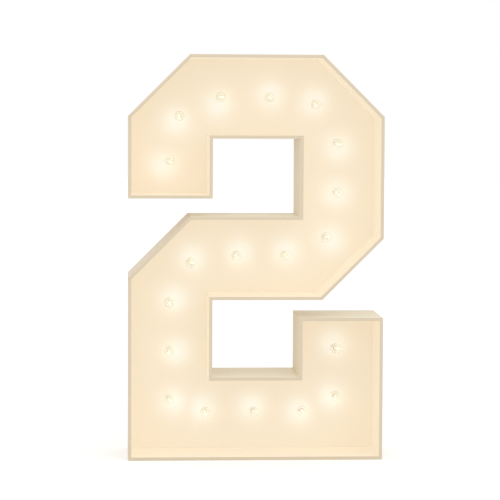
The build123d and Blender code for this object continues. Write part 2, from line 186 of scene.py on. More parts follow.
class LampSettings(bpy.types.PropertyGroup):
    """Sizes of the lamps, with heights from the panel's front face."""

    count: IntProperty(name="Lamps", description="How many lamps stand on the line", default=19)
    end_distance: length("End distance", "First lamp from the end of its stroke", 109 * MM)
    corner_cut: length("Corner cut", "How much the lamp line cuts each corner", 88 * MM)
    globe_radius: length("Globe radius", "Outer radius of the glass", 15 * MM)
    globe_centre: length("Globe centre", "Height of the globe's centre", 33 * MM)
    glass: length("Glass", "Wall of the globe", 0.9 * MM)
    neck_radius: length("Neck radius", "Outer radius of the globe's neck", 6.2 * MM)
    neck_length: length("Neck length", "Straight part of the neck", 3 * MM)
    stem_length: length("Stem length", "Glass stem from the cap", 18 * MM)
    stem_radius: length("Stem radius", "Radius of the stem at its top", 1.8 * MM)
    rod_gap: length("Rod gap", "How far above the stem the lit rod starts", 0.5 * MM)
    rod_radius: length("Rod radius", "Radius of the lit rod", 0.9 * MM)
    rod_length: length("Rod length", "Length of the lit rod", 18 * MM)
    rod_lean: angle("Rod lean", "How far the lit rod leans from the stem", 32)
    turn_spread: angle("Turn spread", "How far the bulbs stop to either side of their common turn", 65)
    wire_radius: length("Wire radius", "Radius of the support wire", 0.22 * MM)
    cap_radius: length("Cap radius", "Radius over the cap's thread", 6.5 * MM)
    cap_length: length("Cap length", "Length of the screw cap", 15 * MM)
    cap_reveal: length("Cap reveal", "How much of the cap stands out of its holder", 1.5 * MM)
    thread_pitch: length("Thread pitch", "Rise of the thread in one turn", 2.2 * MM)
    thread_depth: length("Thread depth", "Depth of the rolled thread", 0.5 * MM)
    tip_radius: length("Tip radius", "Radius of the end contact", 2.4 * MM)
    tip_length: length("Tip length", "Length of the end contact", 2 * MM)
    power: share("Lamp power", "Light that each bulb throws", 0.014)
    light_radius: length("Light radius", "Radius of the light that each bulb throws", 3 * MM)
    rod_light: share("Rod light", "Brightness of the lit rod itself", 1.5)
    rod_colour: colour("Rod colour", "Colour of the lit rod", (1.0, 0.87, 0.68))
    # Painted light: a faint glow painted on the glass of a lit globe
    painted_glass_glow: colour("Haze", "Faint glow of each wall of a lit globe", (0.021, 0.019, 0.0165))
    glass_edge: colour("Glass edge", "Tint of the glass seen edge on", (0.95, 0.975, 0.915))


class HolderSettings(bpy.types.PropertyGroup):
    """Sizes of the lampholders and of the cable, with heights from the panel's front face."""

    flange_radius: length("Flange radius", "Radius of the flange on the panel", 13.5 * MM)
    flange_thickness: length("Flange", "Thickness of the flange", 2.5 * MM)
    barrel_radius: length("Barrel radius", "Radius of the barrel", 10 * MM)
    bore_radius: length("Bore radius", "Radius of the bore for the cap", 6.8 * MM)
    bore_bottom: length("Bore bottom", "Height of the bore's floor", -14 * MM)
    slot_bottom: length("Slot bottom", "Height where the cable's slot starts", -17.6 * MM)
    barrel_end: length("Barrel end", "Height of the barrel's rear end", -24 * MM)
    slot_width: length("Slot width", "Width of the cable's slot", 3.4 * MM)
    cover: length("Rear cover", "Thickness of the rear cover", 2 * MM)
    nut_width: length("Nut width", "Width of the nut across its flats", 26 * MM)
    nut_thickness: length("Nut", "Thickness of the nut", 4 * MM)
    nut_bore: length("Nut bore", "Radius of the nut's bore", 10.2 * MM)
    cable_width: length("Cable width", "Width of the flat cable", 3 * MM)
    cable_depth: length("Cable depth", "Depth of the flat cable", 6 * MM)
    cable_bend: length("Cable bend", "Bend of the cable at a cut corner", 40 * MM)
    cable_corner_bend: length("Corner bend", "Bend of the cable at a square corner", 25 * MM)
    cable_in_cap: length("Cable in cap", "How much of the cable its end cap covers", 9 * MM)
    cable_in_case: length("Cable in case", "Where the cable ends above the case's lower end", 6 * MM)


class CaseSettings(bpy.types.PropertyGroup):
    """Colours and small sizes of the battery case and of what is in it."""

    shell: colour("Case", "Colour of the moulded case", (0.78, 0.76, 0.71))
    jacket: colour("Jacket", "Colour of the cells' jackets", (0.035, 0.085, 0.17))
    band: colour("Band", "Colour of the band near each cell's button", (0.60, 0.62, 0.64))
    band_width: length("Band width", "Width of the band round a cell", 5 * MM)
    band_place: length("Band place", "The band's middle from the cell's button end", 7 * MM)
    cell_radius: length("Cell radius", "Radius over a cell's jacket", 7.25 * MM)
    button_radius: length("Button radius", "Radius of a cell's button", 2.75 * MM)
    button_length: length("Button length", "How far a cell's button stands out", 1.0 * MM)
    jacket_lap: length("Jacket lap", "How far the jacket laps over a cell's ends", 1.2 * MM)
    lead_radius: length("Lead radius", "Radius over the sheath of the lead", 0.65 * MM)
    bare_radius: length("Bare radius", "Radius of the lead's bare ends", 0.32 * MM)
    pad_corner: length("Pad corner", "Corner radius of the foam pad", 3 * MM)
    knob_ridge: length("Knob ridge", "Depth of the ridges across the switch's knob", 0.35 * MM)
    mark_size: length("Mark size", "Height of the marks beside the switch", 2.8 * MM)
    mark_stroke: length("Mark stroke", "Width of the marks' strokes", 0.5 * MM)
    mark_rise: length("Mark rise", "How far the marks stand out of the lid", 0.3 * MM)
    mark_distance: length("Mark distance", "The marks' distance from the middle of the slot", 7 * MM)


class StageSettings(bpy.types.PropertyGroup):
    """Camera, lights and floor."""

    lens: FloatProperty(name="Lens", description="Focal length", default=152.41, unit="CAMERA")
    camera_place: point("Camera place", "Where the camera stands", (-0.3948, -6.4469, 1.0296))
    pitch: angle("Pitch", "How far the camera looks down", 3.5667)
    yaw: angle("Yaw", "How far the camera looks to the right", 3.4023)
    roll: angle("Roll", "Turn of the camera about its view", 0.2436)
    sky: share("Sky", "Even light from all round", 0.93)
    key: share("Key light", "Power of the large soft light", 10.0)
    key_size: length("Key size", "Side of the large soft light", 3.0)
    key_place: point("Key place", "Where the large soft light hangs", (1.2, -1.9, 3.8))
    key_target: point("Key target", "What the large soft light points at", (0, 0, 0.6))
    floor_size: length("Floor", "Side of the floor", 60.0)
    floor_colour: colour("Floor colour", "Colour of the floor", (0.88, 0.88, 0.88))
    floor_lift: share("Floor lift", "How much whiter the floor shows than it is lit", 0.26)


class FigureSettings(bpy.types.PropertyGroup):
    """All settings of the figure."""

    boards: PointerProperty(type=BoardSettings)
    lamps: PointerProperty(type=LampSettings)
    holders: PointerProperty(type=HolderSettings)
    case: PointerProperty(type=CaseSettings)
    stage: PointerProperty(type=StageSettings)


def settings():
    """The settings in the open scene."""
    return bpy.context.scene.light_up_figure


# Places


def middle_of(node):
    """The middle of a CAD node's box and half its size."""
    low, high = (np.array(corner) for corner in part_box(node))
    return (low + high) / 2, (high - low) / 2


def panel_front():
    """The depth of the panel's front face."""
    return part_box("light_panel")[0].y


def cap_top():
    """The height of a screw cap's rim, where the glass starts, from the panel's front face."""
    return settings().holders.flange_thickness + settings().lamps.cap_reveal


def lamp_line():
    """The corners of the line along the middle of the strokes, from the boards' own places."""
    cut = settings().lamps.corner_cut
    low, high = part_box("upper_terminal_bottom_wall")
    left, start = (low.x + high.x) / 2, low.z
    low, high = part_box("lower_terminal_top_wall")
    right, end = (low.x + high.x) / 2, high.z
    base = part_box("lower_counter_floor_wall")[1].z / 2
    waist = (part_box("waist_underside_wall")[0].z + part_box("waist_top_wall")[1].z) / 2
    top = (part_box("upper_counter_top_wall")[0].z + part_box("top_wall")[1].z) / 2
    return np.array([
        (left, start),
        (left, top - cut),
        (left + cut, top),
        (right - cut, top),
        (right, top - cut),
        (right, waist + cut),
        (right - cut, waist),
        (left + cut, waist),
        (left, waist - cut),
        (left, base),
        (right, base),
        (right, end),
    ])


def lamp_places():
    """Origins on the panel's face at even steps along the line, and the axes along, across and out."""
    corners = lamp_line()
    lamps = settings().lamps
    run = np.diff(corners, axis=0)
    reached = np.concatenate([[0], np.cumsum(np.hypot(*run.T))])
    at = np.linspace(lamps.end_distance, reached[-1] - lamps.end_distance, lamps.count)
    x, z = (np.interp(at, reached, corner) for corner in corners.T)
    way = unit(run)[np.searchsorted(reached, at) - 1]
    origins = np.column_stack([x, np.full_like(x, panel_front()), z])
    along = np.insert(way, 1, 0, axis=1)
    out = np.broadcast_to((0.0, -1.0, 0.0), along.shape)
    return origins, np.stack([along, np.cross(out, along), out], axis=1)


def screwed_in():
    """The lamps' places with axes to the right, up and out, each turned about its last axis by
    spread (2 frac(golden n) - 1), as every bulb stops at a turn of its own."""
    origins, axes = lamp_places()
    number = np.arange(1, len(origins) + 1)
    turn = settings().lamps.turn_spread * (2 * ((number * GOLDEN) % 1) - 1)
    right, up = np.array([(1, 0, 0), (0, 0, 1)])
    along = np.cos(turn)[:, None] * right + np.sin(turn)[:, None] * up
    across = np.cos(turn)[:, None] * up - np.sin(turn)[:, None] * right
    return origins, np.stack([along, across, axes[:, 2]], axis=1)


def rod_way():
    """The way in which a lit rod leans in its bulb, down to the right."""
    lean = settings().lamps.rod_lean
    aside = math.sin(lean) / math.sqrt(2)
    return np.array([aside, -aside, math.cos(lean)])


def rod_at(part):
    """The point at a part of a lit rod's length, which starts above the stem's top."""
    lamps = settings().lamps
    start = np.array([0, 0, cap_top() + lamps.stem_length + lamps.rod_gap])
    return start + rod_way() * lamps.rod_length * part


def rod_middles():
    """The middle of every lit rod."""
    origins, axes = screwed_in()
    return origins + np.einsum("k,nkc->nc", rod_at(0.5), axes)


def pool_centres():
    """The middle of each lamp's painted pool of light, on the panel's front face."""
    centres = rod_middles()
    centres[:, 1] = panel_front()
    for (right, up), numbers in POOLS_ASIDE.items():
        lamps = [number - 1 for number in numbers if number <= len(centres)]
        centres[lamps] += np.array((right, 0, up)) * settings().boards.pool_aside
    return centres


# Surfaces


def unit(vectors):
    """Vectors of the same ways with length one."""
    return vectors / np.linalg.norm(vectors, axis=-1, keepdims=True)


def full_turn(steps):
    """Even angles all the way round."""
    return np.arange(steps) * 2 * np.pi / steps


def eased(corners, radius, steps=3, most=0.45):
    """The profile with each inner corner P rounded: (1-t)^2 A + 2t(1-t) P + t^2 B, where A and B lie
    on its two sides, the radius or at most a given part of a side away."""
    corners = np.asarray(corners, float)
    t = np.linspace(0, 1, steps + 1)[:, None]
    points = [corners[:1]]
    for before, here, after in zip(corners, corners[1:], corners[2:]):
        back, on = before - here, after - here
        cut = min(radius, most * np.hypot(*back), most * np.hypot(*on))
        a, b = here + unit(back) * cut, here + unit(on) * cut
        points.append((1 - t) ** 2 * a + 2 * t * (1 - t) * here + t**2 * b)
    return np.concatenate([*points, corners[-1:]])


def turned(radius, height, around):
    """The grid (r cos t, r sin t, h): a profile of radii r and heights h, which may change with the
    turn t, carried round the axis."""
    r = np.broadcast_to(np.asarray(radius, float).reshape(len(radius), -1), (len(radius), around))
    h = np.broadcast_to(np.asarray(height, float).reshape(len(height), -1), r.shape)
    turn = full_turn(around)
    return np.stack([r * np.cos(turn), r * np.sin(turn), h], axis=-1)


def skin(grid, ring=False):
    """Points, quads and triangles over a grid that wraps round its columns. As a ring its last row
    joins its first, and otherwise its first and last rows each close to one pole."""
    rows, columns = grid.shape[:2]
    index = np.arange(rows * columns).reshape(rows, columns)
    beside = np.roll(index, -1, axis=1)
    if ring:
        above = np.roll(index, -1, axis=0)
        quads = np.stack([index, beside, np.roll(above, -1, axis=1), above], axis=-1)
        return grid.reshape(-1, 3), quads.reshape(-1, 4), np.zeros((0, 3), int)
    points = np.concatenate([grid[0, :1], grid[1:-1].reshape(-1, 3), grid[-1, :1]])
    index = index[: rows - 2] + 1
    beside = np.roll(index, -1, axis=1)
    quads = np.stack([index[:-1], beside[:-1], beside[1:], index[1:]], axis=-1).reshape(-1, 4)
    first = np.zeros(columns, int)
    last = np.full(columns, len(points) - 1)
    start = np.stack([first, beside[0], index[0]], axis=-1)
    end = np.stack([index[-1], beside[-1], last], axis=-1)
    return points, quads, np.concatenate([start, end])


def lathed(corners, ease, around):
    """The closed surface that a profile with eased corners makes round the axis."""
    return skin(turned(*eased(corners, ease).T, around))


def capped(rows):
    """The surface over rows of points, with each end closed to the middle of its last row."""
    ends = [np.broadcast_to(rows[at].mean(axis=0), (1, *rows.shape[1:])) for at in (0, -1)]
    return skin(np.concatenate([ends[0], rows, ends[1]]))


def rounded_slab(half_length, half_width, corner, profile, steps=7):
    """A slab with round corners: corner centre + (corner - inset) (cos t, sin t) at each
    (inset, height) of its profile."""
    inset, height = np.array(profile).T
    quarter = np.linspace(0, math.pi / 2, steps)
    turn = (np.arange(4)[:, None] * math.pi / 2 + quarter).ravel()
    side = np.repeat([(1, 1), (-1, 1), (-1, -1), (1, -1)], steps, axis=0)
    way = np.column_stack([np.cos(turn), np.sin(turn)])
    outline = side * (half_length - corner, half_width - corner) + (corner - inset)[:, None, None] * way
    level = np.broadcast_to(height[:, None, None], (*outline.shape[:2], 1))
    return capped(np.concatenate([outline, level], axis=2))


def tube(path, radius, around=8):
    """A round wire along a path: its middle + radius (u cos t + v sin t), with u and v square to
    the path and v kept in the path's plane."""
    u = np.broadcast_to(unit(np.cross(path[-1] - path[0], path[len(path) // 2] - path[0])), path.shape)
    v = np.cross(unit(np.gradient(path, axis=0)), u)
    turn = full_turn(around)[:, None]
    return capped(path[:, None] + radius * (u[:, None] * np.cos(turn) + v[:, None] * np.sin(turn)))


def joined(*pieces):
    """Several (points, quads, triangles) as one."""
    points, *kinds = zip(*pieces)
    starts = np.cumsum([0, *map(len, points[:-1])])
    faces = [np.concatenate([face + start for face, start in zip(kind, starts)]) for kind in kinds]
    return np.concatenate(points), *faces


def at_places(piece, places):
    """The piece set in every place: origin + x along + y across + z out."""
    points, quads, triangles = piece
    origins, axes = places
    placed = origins[:, None] + np.einsum("pk,nkc->npc", points, axes)
    return joined(*[(one, quads, triangles) for one in placed])


def add_piece(name, shape, material, replaced, body=FIGURE, sharp=math.radians(40)):
    """A mesh object at the origin, smooth but for edges sharper than the given angle."""
    points, quads, triangles = shape
    mesh = bpy.data.meshes.new(name)
    mesh.from_pydata(points.tolist(), [], quads.tolist() + triangles.tolist())
    mesh.shade_smooth()
    mesh.set_sharp_from_angle(angle=sharp)
    mesh.materials.append(material)
    if mesh.validate():
        raise RuntimeError(f"{name} has faces that don't close")
    piece = bpy.data.objects.new(name, mesh)
    bpy.context.scene.collection.objects.link(piece)
    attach(piece, body)
    if replaced:
        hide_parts(replaced)


def paint_node(name, material):
    """A CAD node takes the material."""
    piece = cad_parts[name]
    piece.data.materials.clear()
    piece.data.materials.append(material)
    return piece


def ease_node(piece, width, same_point=1e-6, flat=math.radians(1), edge=math.radians(30)):
    """Merges a CAD node's triangles into its flat faces and eases its edges."""
    weld = piece.modifiers.new("Merged", "WELD")
    weld.merge_threshold = same_point
    faces = piece.modifiers.new("Flat faces", "DECIMATE")
    faces.decimate_type = "DISSOLVE"
    faces.angle_limit = flat
    bevel = piece.modifiers.new("Eased edges", "BEVEL")
    bevel.width = width
    bevel.segments = 2
    bevel.limit_method = "ANGLE"
    bevel.angle_limit = edge
    bevel.harden_normals = True


# Materials


def fill(node, values):
    """Gives a node's inputs, by name or number, their values: another node's output is linked."""
    for key, value in values.items():
        if isinstance(value, bpy.types.NodeSocket):
            node.id_data.links.new(value, node.inputs[key])
        else:
            node.inputs[key].default_value = value


def add_node(tree, kind, values=None, **options):
    """A node with its options, and with values for its inputs."""
    node = tree.nodes.new(kind)
    for key, value in options.items():
        setattr(node, key, value)
    fill(node, values or {})
    return node


def maths(tree, operation, *inputs, clamp=False):
    """A Math node's result."""
    values = dict(enumerate(inputs))
    return add_node(tree, "ShaderNodeMath", values, operation=operation, use_clamp=clamp).outputs[0]


def measured(tree, operation, first, second):
    """The number that a Vector Math node makes of two vectors."""
    node = add_node(tree, "ShaderNodeVectorMath", {0: first, 1: second}, operation=operation)
    return node.outputs["Value"]


def added(tree, first, second):
    """The sum of two vectors or colours."""
    node = add_node(tree, "ShaderNodeVectorMath", {0: first, 1: second}, operation="ADD")
    return node.outputs["Vector"]


def scaled(tree, value, factor):
    """A vector or colour times a number."""
    node = add_node(tree, "ShaderNodeVectorMath", {0: value, "Scale": factor}, operation="SCALE")
    return node.outputs["Vector"]


def mixed(tree, factor, first, second):
    """A blend of two colours, which are the Mix node's inputs 6 and 7 and its output 2."""
    node = add_node(tree, "ShaderNodeMix", {0: factor, 6: first, 7: second}, data_type="RGBA")
    return node.outputs[2]


def own_place(tree):
    """A piece's own coordinates."""
    return tree.nodes.new("ShaderNodeTexCoord").outputs["Object"]


def opaque(rgb):
    """A colour with its alpha."""
    return (*rgb, 1.0)


def new_group(name, inputs, outputs):
    """A node group whose inputs are given with their defaults and its outputs with their kinds, and
    its input and output nodes."""
    group = bpy.data.node_groups.new(name, "ShaderNodeTree")
    for label, default in inputs.items():
        kind = {3: "Vector", 4: "Color"}.get(np.size(default), "Float")
        socket = group.interface.new_socket(name=label, in_out="INPUT", socket_type=f"NodeSocket{kind}")
        socket.default_value = default
    for label, kind in outputs.items():
        group.interface.new_socket(name=label, in_out="OUTPUT", socket_type=f"NodeSocket{kind}")
    return group, group.nodes.new("NodeGroupInput").outputs, group.nodes.new("NodeGroupOutput")


def noise(tree, scale, detail, roughness):
    """Noise over a piece's own coordinates."""
    values = {"Vector": own_place(tree), "Scale": scale, "Detail": detail, "Roughness": roughness}
    return add_node(tree, "ShaderNodeTexNoise", values).outputs["Fac"]


def finish_group():
    """A worked surface: broad tone changes, a fine grain and uneven roughness."""
    known = bpy.data.node_groups.get("worked surface")
    if known:
        return known
    tree, given, result = new_group(
        "worked surface",
        {
            "Color": (0.8, 0.8, 0.8, 1), "Tone": 0.04, "Tone Scale": 6.0, "Grain Scale": 900.0,
            "Roughness": 0.5, "Roughness Spread": 0.08,
        },
        {"Color": "Color", "Roughness": "Float", "Height": "Float"},
    )
    broad = noise(tree, given["Tone Scale"], detail=3.0, roughness=0.55)
    grain = noise(tree, given["Grain Scale"], detail=2.0, roughness=0.6)
    # Both noises waver about a half, so their sum less its middle wavers about nought
    grain_part, least_rough = 0.35, 0.02
    both = maths(tree, "MULTIPLY_ADD", grain, grain_part, broad)
    uneven = maths(tree, "MULTIPLY_ADD", both, 2.0, -(1 + grain_part))
    tone = maths(tree, "MULTIPLY_ADD", uneven, given["Tone"], 1.0)
    rough = maths(tree, "MULTIPLY_ADD", uneven, given["Roughness Spread"], given["Roughness"])
    fill(result, {
        "Color": scaled(tree, given["Color"], tone),
        "Roughness": maths(tree, "MAXIMUM", rough, least_rough),
        "Height": grain,
    })
    return tree


def painted_lamp_light_group():
    """Painted light of the lamps on a surface inside the box: an even share, and a painted pool round
    each lamp's point on the panel that falls with the distance d as exp(-(d / reach)^2). What faces
    outward gets another share of painted light, which falls evenly from the front to the back."""
    known = bpy.data.node_groups.get("lamp light")
    if known:
        return known
    tree, given, result = new_group(
        "lamp light",
        {"Inward": (0, -1, 0), "All Round": 0.0, "Reach": settings().boards.pool_reach},
        {"Inside": "Float", "Outside": "Float", "Pool": "Float"},
    )
    place = own_place(tree)
    depth = add_node(tree, "ShaderNodeSeparateXYZ", {"Vector": place}).outputs["Y"]
    normal = tree.nodes.new("ShaderNodeNewGeometry").outputs["True Normal"]
    facing = measured(tree, "DOT_PRODUCT", normal, given["Inward"])
    turned_to, just_past = math.cos(math.radians(60)), 0.5 * MM
    faces_in = maths(tree, "MAXIMUM", maths(tree, "GREATER_THAN", facing, turned_to), given["All Round"])
    faces_out = maths(tree, "LESS_THAN", facing, -turned_to)
    in_front = maths(tree, "LESS_THAN", depth, panel_front() + just_past)
    inside = maths(tree, "MULTIPLY", faces_in, in_front)
    nearest, *others = [measured(tree, "DISTANCE", place, tuple(centre)) for centre in pool_centres()]
    for away in others:
        nearest = maths(tree, "MINIMUM", nearest, away)
    squared = maths(tree, "POWER", maths(tree, "DIVIDE", nearest, given["Reach"]), 2.0)
    pool = maths(tree, "EXPONENT", maths(tree, "MULTIPLY", squared, -1.0))
    front, back = CAD_BOUNDS[0].y, CAD_BOUNDS[1].y
    to_back = maths(tree, "DIVIDE", maths(tree, "SUBTRACT", depth, front), back - front)
    fading = maths(tree, "MULTIPLY_ADD", to_back, -settings().boards.opening_fade, 1.0, clamp=True)
    fill(result, {
        "Inside": inside,
        "Outside": maths(tree, "MULTIPLY", faces_out, fading),
        "Pool": maths(tree, "MULTIPLY", pool, inside),
    })
    return tree


def new_material(name):
    """A material with its node tree and its Principled node."""
    material = bpy.data.materials.new(name)
    material.use_nodes = True
    return material, material.node_tree, material.node_tree.nodes["Principled BSDF"]


def add_finish(tree, rgb, roughness, tone, tone_scale, grain_scale, spread):
    """The worked surface placed in a material."""
    values = {
        "Color": opaque(rgb), "Tone": tone, "Tone Scale": tone_scale, "Grain Scale": grain_scale,
        "Roughness": roughness, "Roughness Spread": spread,
    }
    return add_node(tree, "ShaderNodeGroup", values, node_tree=finish_group(), name="Worked surface")


def finished(name, rgb, roughness, tone=0.04, tone_scale=12.0, grain_scale=900.0, grain=0.2,
             spread=0.08, relief=0.05 * MM, **constants):
    """A material with the worked surface. Constants go straight to the Principled node's sockets."""
    material, tree, shader = new_material(name)
    worked = add_finish(tree, rgb, roughness, tone, tone_scale, grain_scale, spread).outputs
    values = {"Strength": grain, "Distance": relief, "Height": worked["Height"]}
    bump = add_node(tree, "ShaderNodeBump", values)
    fill(shader, {
        "Base Color": worked["Color"], "Roughness": worked["Roughness"], "Normal": bump.outputs["Normal"],
    })
    fill(shader, {label.replace("_", " "): value for label, value in constants.items()})
    return material


def add_painted_lamp_light(material, even_light, pool_light, inward=None, outside_light=NO_LIGHT):
    """A surface in front of the panel gets the lamps' light painted on as emission, all round or where it
    faces inward, and another painted light where it faces outward."""
    tree = material.node_tree
    values = {
        "Inward": inward or (0, 0, 0),
        "All Round": float(inward is None),
        "Reach": settings().boards.pool_reach,
    }
    light = add_node(tree, "ShaderNodeGroup", values, node_tree=painted_lamp_light_group()).outputs
    even = scaled(tree, even_light, light["Inside"])
    pool = scaled(tree, pool_light, light["Pool"])
    outside = scaled(tree, outside_light, light["Outside"])
    total = added(tree, added(tree, even, pool), outside)
    fill(tree.nodes["Principled BSDF"], {"Emission Color": total, "Emission Strength": 1.0})
    material.cycles.emission_sampling = "NONE"


def lit_paint(name, inward, outside_light=NO_LIGHT):
    """The boards' paint, with painted light inside the box: a painted glow and painted pools where the
    lamps' light falls on it.
    """
    boards = settings().boards
    material = finished(
        name, boards.paint, roughness=0.5, tone=0.022, tone_scale=7.0, grain_scale=520.0, grain=0.6,
        relief=0.12 * MM,
    )
    even = [part * boards.lamp_glow for part in boards.glow_colour]
    pool = [part * boards.pool_glow for part in boards.pool_colour]
    add_painted_lamp_light(material, even, pool, inward, outside_light)
    return material


def globe_glass():
    """Clear blown glass, tinted where it is seen edge on, with a faint painted glow, that lets the lamps'
    own light through.
    """
    lamps = settings().lamps
    material, tree, shader = new_material("clear blown glass")
    edge = add_node(tree, "ShaderNodeLayerWeight", {"Blend": 0.35}).outputs["Facing"]
    worked = add_finish(
        tree, (0.99, 0.995, 0.985), roughness=0.03, tone=0.01, tone_scale=60.0, grain_scale=120.0,
        spread=0.02,
    ).outputs
    fill(shader, {
        "Base Color": mixed(tree, edge, worked["Color"], opaque(lamps.glass_edge)),
        "Roughness": worked["Roughness"],
        "Transmission Weight": 1.0,
        "IOR": 1.5,
        # Painted glow on the glass walls, standing in for the lamps' light in the glass
        "Emission Color": opaque(lamps.painted_glass_glow),
        "Emission Strength": 1.0,
    })
    material.cycles.emission_sampling = "NONE"
    ray = tree.nodes.new("ShaderNodeLightPath")
    clear = tree.nodes.new("ShaderNodeBsdfTransparent")
    shown = {0: ray.outputs["Is Shadow Ray"], 1: shader.outputs["BSDF"], 2: clear.outputs["BSDF"]}
    mix = add_node(tree, "ShaderNodeMixShader", shown)
    fill(tree.nodes["Material Output"], {"Surface": mix.outputs[0]})
    return material


def lit_rod():
    """The glowing rod of a bulb."""
    lamps = settings().lamps
    return finished(
        "lit rod", (0.9, 0.80, 0.60), roughness=0.5, tone=0.1, tone_scale=300.0, grain_scale=1500.0,
        Emission_Color=opaque(lamps.rod_colour), Emission_Strength=lamps.rod_light,
    )


# The boards and the panel


class FIGURE_OT_boards(bpy.types.Operator):
    """Paint the boards round the outline, with painted light inside the box and on the openings' outward
    sides, and ease their edges
    """

    bl_idname = "figure.boards"
    bl_label = "Boards"

    def execute(self, context):
        boards = settings().boards
        made = {}
        for name, (x, z) in INWARD.items():
            # The outward sides of the openings get painted light, and more of it on the ledges that face
            # up
            outside = NO_LIGHT
            if name in OPENINGS:
                outside = boards.ledge_light if (x, z) == (0, -1) else boards.opening_light
            kind = x, z, name in OPENINGS
            if kind not in made:
                inward = tuple(unit(np.array((x, 0, z))))
                made[kind] = lit_paint(f"board paint with painted light {len(made) + 1}", inward, tuple(outside))
            ease_node(paint_node(name, made[kind]), boards.arris)
        return {"FINISHED"}


class FIGURE_OT_light_panel(bpy.types.Operator):
    """Paint the panel that carries the lamps, with painted light and painted pools round the lamps"""

    bl_idname = "figure.light_panel"
    bl_label = "Light panel"

    def execute(self, context):
        paint_node("light_panel", lit_paint("panel paint with painted light", (0, -1, 0)))
        return {"FINISHED"}


# The bulbs


def globe_side(radius, neck):
    """Up the side of a globe: a straight neck, its tangent cone, then the ball's arc."""
    lamps = settings().lamps
    low, neck_rows, ball_rows = cap_top(), 4, 22
    rise = lamps.globe_centre - low - lamps.neck_length
    start = math.atan2(neck, rise) + math.acos(radius / math.hypot(neck, rise))
    turn = np.linspace(start, math.pi, ball_rows)
    ball = np.column_stack([radius * np.sin(turn), lamps.globe_centre - radius * np.cos(turn)])
    heights = low + lamps.neck_length * np.linspace(0, 1, neck_rows)
    side = np.concatenate([np.column_stack([np.full(neck_rows, neck), heights]), ball])
    side[-1, 0] = 0
    return side


def globe_shape():
    """Blown glass with a wall, closed at its neck, from the inner pole round to the outer one."""
    lamps = settings().lamps
    outer = globe_side(lamps.globe_radius, lamps.neck_radius)
    inner = globe_side(lamps.globe_radius - lamps.glass, lamps.neck_radius - lamps.glass)
    return skin(turned(*np.concatenate([inner[::-1], outer]).T, around=40))


def cap_shape():
    """A screw cap whose radius is r + depth/2 cos(2 pi h / pitch - t), with its end contact."""
    lamps = settings().lamps
    around, rows = 36, 48
    side, tip, top = lamps.cap_radius, lamps.tip_radius, cap_top()
    bottom = top - lamps.cap_length
    tip_end, tip_ease = bottom - lamps.tip_length, 0.7
    base_inset, shoulder_inset, shoulder_rise = 1.6 * MM, 0.6 * MM, 0.5 * MM
    lip_inset, rim_inset, rim_depth = 0.25 * MM, 0.1 * MM, 0.5 * MM
    thread_start, thread_end = bottom + 1.2 * MM, top - 1.0 * MM
    below = np.array([
        (0, tip_end), (tip * tip_ease, tip_end), (tip, bottom - lamps.tip_length * tip_ease),
        (tip, bottom), (side - base_inset, bottom), (side - shoulder_inset, bottom + shoulder_rise),
    ])
    above = np.array([
        (side - rim_inset, top - rim_depth), (side - lip_inset, top),
        (lamps.neck_radius - lamps.glass, top), (0, top),
    ])
    height = np.linspace(thread_start, thread_end, rows)
    swell = np.cos(2 * np.pi * height[:, None] / lamps.thread_pitch - full_turn(around))
    fade = np.clip(np.minimum(height - height[0], height[-1] - height) / lamps.thread_pitch, 0, 1)
    thread = side - lamps.thread_depth * (0.5 - 0.5 * swell * fade[:, None])
    plain = [np.repeat(part[:, :1], around, axis=1) for part in (below, above)]
    radius = np.concatenate([plain[0], thread, plain[1]])
    return skin(turned(radius, np.concatenate([below[:, 1], height, above[:, 1]]), around))


def stem_shape():
    """The flared glass stem with its pinched top."""
    lamps = settings().lamps
    low, thin = cap_top(), lamps.stem_radius
    foot, foot_radius = low + 0.1 * MM, lamps.neck_radius - 1.6 * MM
    flare_end, taper_end, top = low + 4 * MM, low + 8 * MM, low + lamps.stem_length
    pinch_start, pinched, flared = top - 1.5 * MM, 0.8 * thin, 1.5 * thin
    corners = [
        (0, foot), (foot_radius, foot), (flared, flare_end), (thin, taper_end), (thin, pinch_start),
        (pinched, top), (0, top),
    ]
    return lathed(corners, ease=1.2 * MM, around=20)


def rod_shape():
    """The lit rod with rounded ends, turned from the axis to its lean."""
    lamps = settings().lamps
    radius, end, way = lamps.rod_radius, lamps.rod_length, rod_way()
    rod = lathed([(0, 0), (radius, 0), (radius, end), (0, end)], ease=radius, around=12)
    side = unit(np.cross(way, (0, 0, 1)))
    return at_places(rod, (rod_at(0)[None], np.array([[side, np.cross(way, side), way]])))


def wire_shape():
    """The support wire from the stem's side up to the far end of the lit rod: a curve
    (1-t)^3 A + 3t(1-t)^2 B + 3t^2(1-t) C + t^3 D."""
    stem_side, bow, hook = np.array([(0.9, 0.9, -3), (2, 6, 10), (1, 5, 4)]) * MM
    a, d = rod_at(0) + stem_side, rod_at(1)
    b, c = a + bow, d + hook
    t = np.linspace(0, 1, num=20)[:, None]
    path = (1 - t) ** 3 * a + 3 * t * (1 - t) ** 2 * b + 3 * t**2 * (1 - t) * c + t**3 * d
    return tube(path, settings().lamps.wire_radius)


def make_lamp_lights():
    """The light that the lit rods throw, from the middle of each. The lights aren't seen themselves."""
    lamps = settings().lamps
    light = bpy.data.lights.new("lamp", "POINT")
    light.energy = lamps.power
    light.color = lamps.rod_colour
    light.shadow_soft_size = lamps.light_radius
    for number, middle in enumerate(rod_middles(), 1):
        lamp = bpy.data.objects.new(f"lamp light {number}", light)
        lamp.location = middle
        lamp.visible_camera = False
        lamp.visible_glossy = False
        lamp.visible_transmission = False
        bpy.context.scene.collection.objects.link(lamp)


